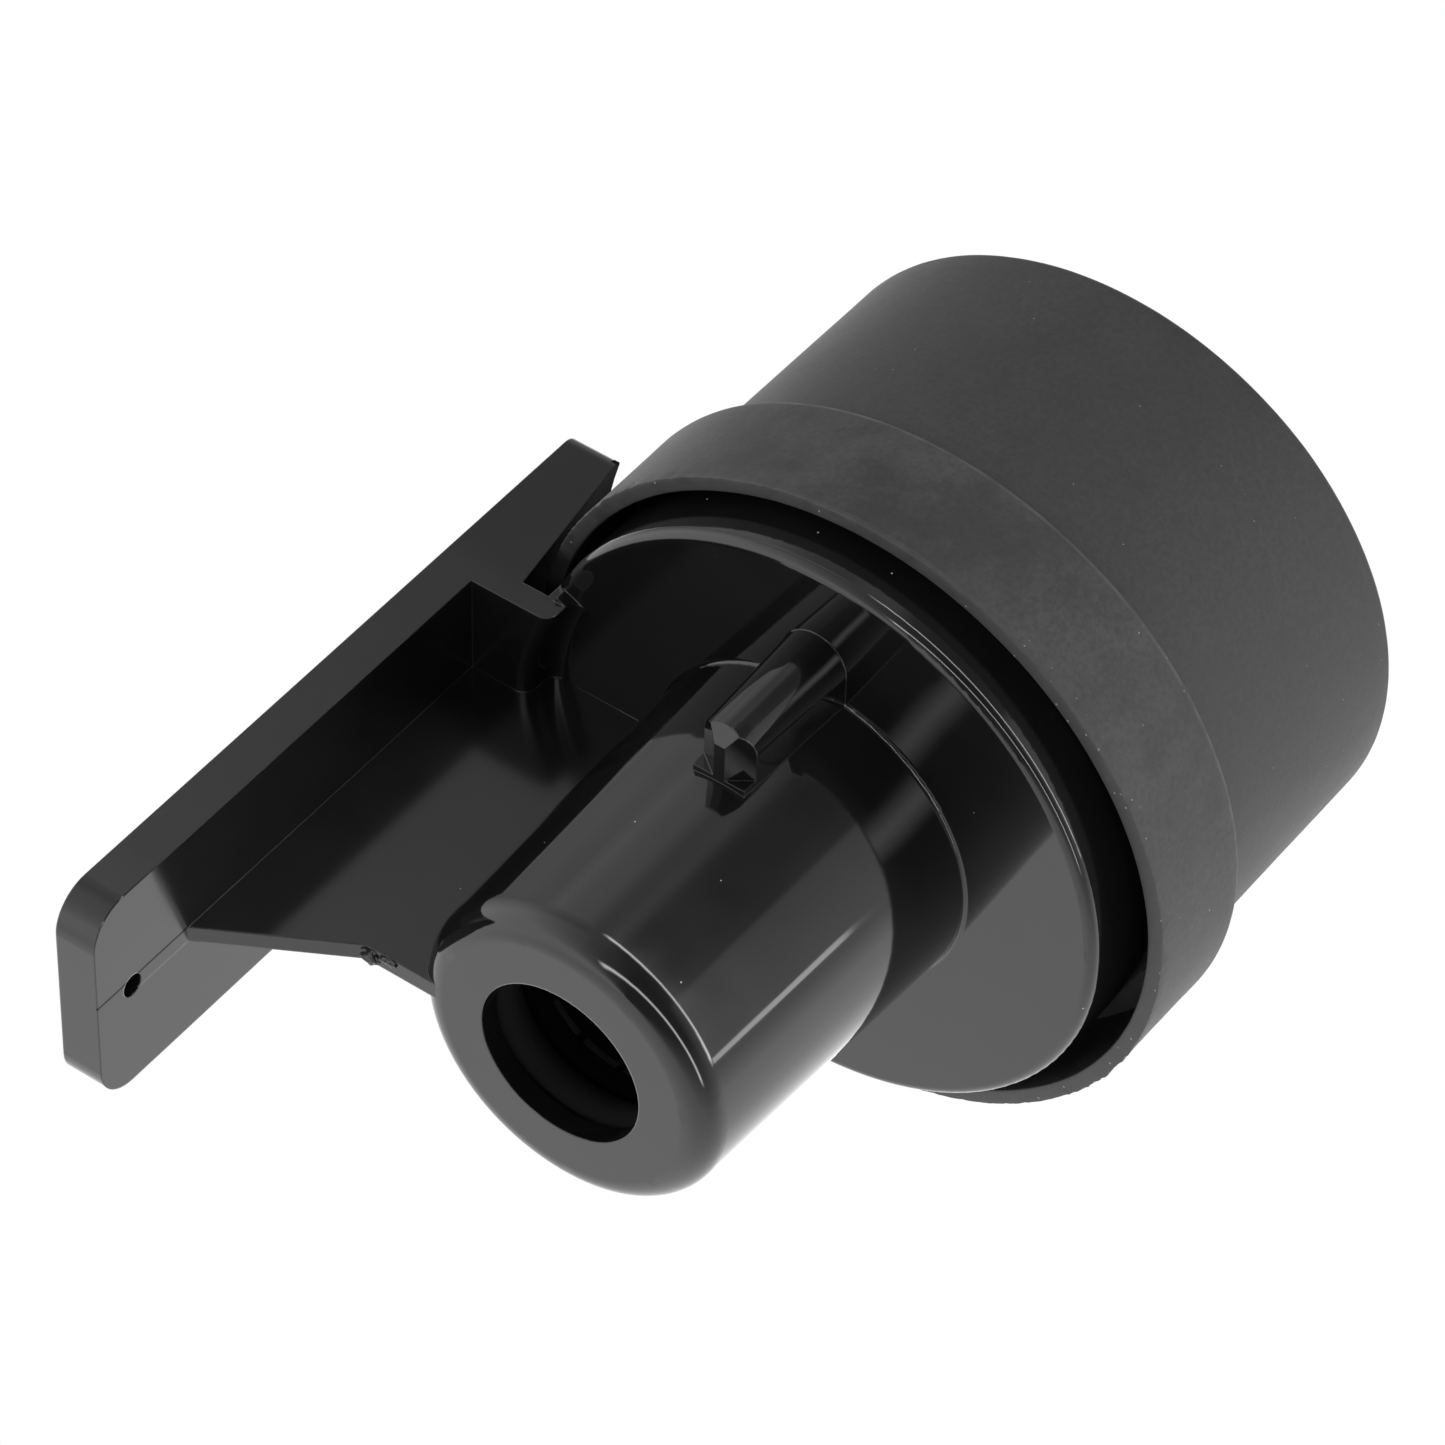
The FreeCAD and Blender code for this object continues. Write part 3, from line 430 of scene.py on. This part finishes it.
def boot_wobble(radius, height, angle):
    """How far the rubber's surface stands off its true round, in millimetres."""
    if radius < TRUE_INSIDE_RADIUS:
        return 0.0
    place = Vector((radius * math.cos(angle), radius * math.sin(angle), height))
    soft = 0.05 * noise.noise(place * 0.09) + 0.012 * noise.noise(place * 0.6)
    if height > BOOT_LIP and radius > OUTER_LIP_RADIUS:
        ragged = max(0.0, noise.noise(place * 0.35 + Vector((7, 3, 1))))
        soft += 0.12 * noise.noise(place * 1.6) + 0.45 * ragged * abs(noise.noise(place * 2.7))
    return soft


def add_boot():
    """The rubber cup with its stepped band, moulded a little out of true and trimmed at the rim."""
    low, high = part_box("float_boot")
    axis = (low + high) / 2
    profile = boot_profile()
    vertices, faces = [], []
    for step in range(BOOT_SEGMENTS):
        angle = 2 * math.pi * step / BOOT_SEGMENTS
        for radius, height in profile:
            r = radius + boot_wobble(radius, height, angle)
            vertices.append((axis.x + r * MM * math.cos(angle), axis.y + r * MM * math.sin(angle),
                             low.z + height * MM))
    rows = len(profile)
    for step in range(BOOT_SEGMENTS):
        here, after = step * rows, (step + 1) % BOOT_SEGMENTS * rows
        for i in range(rows - 1):
            faces.append((here + i, after + i, after + i + 1, here + i + 1))
    for index, height in ((0, 0.0), (rows - 1, BOOT_FLOOR)):
        middle = len(vertices)
        vertices.append((axis.x, axis.y, low.z + height * MM))
        for step in range(BOOT_SEGMENTS):
            here, after = step * rows + index, (step + 1) % BOOT_SEGMENTS * rows + index
            faces.append((middle, after, here) if index == 0 else (middle, here, after))
    mesh = bpy.data.meshes.new("rubber_boot")
    mesh.from_pydata(vertices, [], faces)
    boot = add_piece(mesh, SLOT_MATERIALS["boot_rubber"], "float",
                     sharp_angle=math.radians(40))
    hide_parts("float_boot")


# ---------------------------------------------------------------- marks of moulding on the head
def add_lump(name, place, size, seed):
    """A small rough lump of plastic, with half sizes in millimetres."""
    build = bmesh.new()
    bmesh.ops.create_icosphere(build, subdivisions=4, radius=1)
    shift = Vector((seed, seed * 2, seed * 3))
    for vertex in build.verts:
        rough = noise.noise(vertex.co * 1.7 + shift) * 0.55
        rough += noise.noise(vertex.co * 4.5 + shift) * 0.22
        co = vertex.co * (1 + rough)
        vertex.co = Vector((co.x * size[0], co.y * size[1], co.z * size[2])) * MM + place
    mesh = bpy.data.meshes.new(name)
    build.to_mesh(mesh)
    build.free()
    add_piece(mesh, TORN_MATERIAL, "head")


def add_moulding_marks():
    """The torn-off gate on the web's front edge."""
    edge_z = NOZZLE_FACE_Z - 0.1
    add_lump("gate_mark", Vector((21.6, 0.2, edge_z)) * MM, (1.3, 0.8, 0.5), 1)
    add_lump("gate_crumb", Vector((19.3, -0.4, edge_z)) * MM, (0.9, 0.5, 0.3), 2)


# ---------------------------------------------------------------- stage
FLOOR_HALF_SIZE = 6.0
FLOOR_DROP = 13 * MM


def add_floor():
    """A plain pale floor that stays even all over, below the float's lowest place."""
    size = FLOOR_HALF_SIZE
    mesh = bpy.data.meshes.new("floor")
    corners = [(-size, -size, 0), (size, -size, 0), (size, size, 0), (-size, size, 0)]
    mesh.from_pydata(corners, [], [(0, 1, 2, 3)])
    floor = bpy.data.objects.new("floor", mesh)
    floor.location.z = cad_low.z - FLOOR_DROP
    bpy.context.scene.collection.objects.link(floor)
    floor.visible_diffuse = floor.visible_glossy = floor.visible_shadow = False
    floor.visible_transmission = False
    material, nodes = new_material("pale_floor")
    shader = nodes.add("Emission", {"Color": grey(1.0), "Strength": 1.0})
    finish_material(nodes, shader)
    mesh.materials.append(material)


def add_panel(name, target, direction, distance, width, height, radiance):
    """A soft rectangular light that faces a point of the object from a direction."""
    light = bpy.data.lights.new(name, "AREA")
    light.shape = "RECTANGLE"
    light.size, light.size_y = width, height
    light.energy = radiance * width * height * math.pi
    panel = bpy.data.objects.new(name, light)
    bpy.context.scene.collection.objects.link(panel)
    toward = Vector(direction).normalized()
    panel.location = target + toward * distance
    panel.rotation_mode = "QUATERNION"
    panel.rotation_quaternion = toward.to_track_quat("Z", "Y")
    panel.visible_camera = False


# The room's brightness by compass direction: degrees from -Y toward +X.
ROOM = (
    (-180, 1.50), (-150, 1.35), (-139, 1.45), (-121, 1.60), (-103, 1.0), (-85, 1.0),
    (-68, 0.90), (-52, 0.75), (-48, 0.28), (-33, 0.18), (-15, 0.18), (-6, 0.26), (2, 0.62),
    (14, 0.60), (22, 0.45), (38, 0.50), (56, 0.80), (73, 0.70), (91, 0.45), (110, 1.3),
    (150, 1.60), (180, 1.50),
)
# The same higher up, where the room is dark toward -X and bright toward +X. It fades in
# between two heights, which are those of a direction of length 1.
UPPER_ROOM = (
    (-180, 1.50), (-130, 1.30), (-100, 0.60), (-70, 0.16), (-25, 0.10), (0, 0.45), (25, 1.00),
    (60, 1.90), (95, 1.80), (130, 1.40), (180, 1.50),
)
UPPER_ROOM_FROM, UPPER_ROOM_FULL = -0.42, 0.15
ROOM_PEAK = 2.0
# Long narrow lamps: height at -Y, its change per radian, half width, first and last compass
# direction in degrees, and brightness.
LAMPS = (
    (-0.42, 0.0, 0.065, -92, 4, 12.0),
    (0.80, 0.245, 0.065, -100, 4, 11.0),
)
LAMP_END_FADE = math.radians(6)
# A soft lamp low in front of the rail: (low, high, fade) of its direction, the heights that
# its lower edge fades over, and (low, high, fade) of its body.
LOW_LAMP_DIRECTION = (math.radians(24), math.radians(46), math.radians(10))
LOW_LAMP_EDGE = (-0.565, -0.505)
LOW_LAMP_BODY = (-1, -0.48, 0.30)
LOW_LAMP_LEVEL = 0.50


def add_world():
    """A room with a white table on its +Y side, a dim side where the camera is, and lamps."""
    world = bpy.data.worlds.new("studio")
    world.use_nodes = True
    bpy.context.scene.world = world
    nodes = Nodes(world.node_tree)
    x, y, z = split(nodes, nodes.add("TexCoord").outputs["Generated"])
    angle = nodes.math("ARCTAN2", x, nodes.math("MULTIPLY", y, -1.0))
    turn = nodes.math("MULTIPLY_ADD", angle, 0.5 / math.pi, 0.5)
    lower, upper = [
        nodes.ramp(turn, [((a + 180) / 360, level / ROOM_PEAK) for a, level in room])
        for room in (ROOM, UPPER_ROOM)]
    height = nodes.add("MapRange", {"Value": z, "From Min": UPPER_ROOM_FROM,
                                    "From Max": UPPER_ROOM_FULL})
    glow = nodes.mix(height.outputs[0], lower, upper)
    total = nodes.math("MULTIPLY", glow, ROOM_PEAK)
    edge_low, edge_high = LOW_LAMP_EDGE
    edge = nodes.add("MapRange", {"Value": z, "From Min": edge_low, "From Max": edge_high})
    lamp = nodes.product(edge.outputs[0], nodes.between(z, *LOW_LAMP_BODY),
                         nodes.between(angle, *LOW_LAMP_DIRECTION))
    total = nodes.math("MULTIPLY_ADD", lamp, LOW_LAMP_LEVEL, total)
    for base, slope, half_width, first, last, level in LAMPS:
        offset = nodes.math("SUBTRACT", z, nodes.math("MULTIPLY_ADD", angle, slope, base))
        share = nodes.math("DIVIDE", nodes.math("ABSOLUTE", offset), half_width)
        near = nodes.math("MAXIMUM", nodes.math("SUBTRACT", 1.0, share), 0.0)
        lit = nodes.between(angle, math.radians(first), math.radians(last), LAMP_END_FADE)
        total = nodes.math("MULTIPLY_ADD", nodes.product(near, lit), level, total)
    background = nodes.add("Background", {"Color": grey(1.0), "Strength": total})
    output = nodes.add("OutputWorld")
    nodes.put(output.inputs["Surface"], background.outputs[0])


def light_scene():
    add_world()
    nozzle_side = Vector((-14.5 * MM, -7.2 * MM, 91 * MM))
    add_panel("streak", nozzle_side, (-0.82, 0.10, -0.555), 0.25, 14 * MM, 26 * MM, 4.5)
    bpy.context.scene.view_settings.view_transform = "Standard"


add_camera()
paint_cad_nodes()
add_boot()
add_moulding_marks()
add_floor()
light_scene()

bpy.context.view_layer.update()
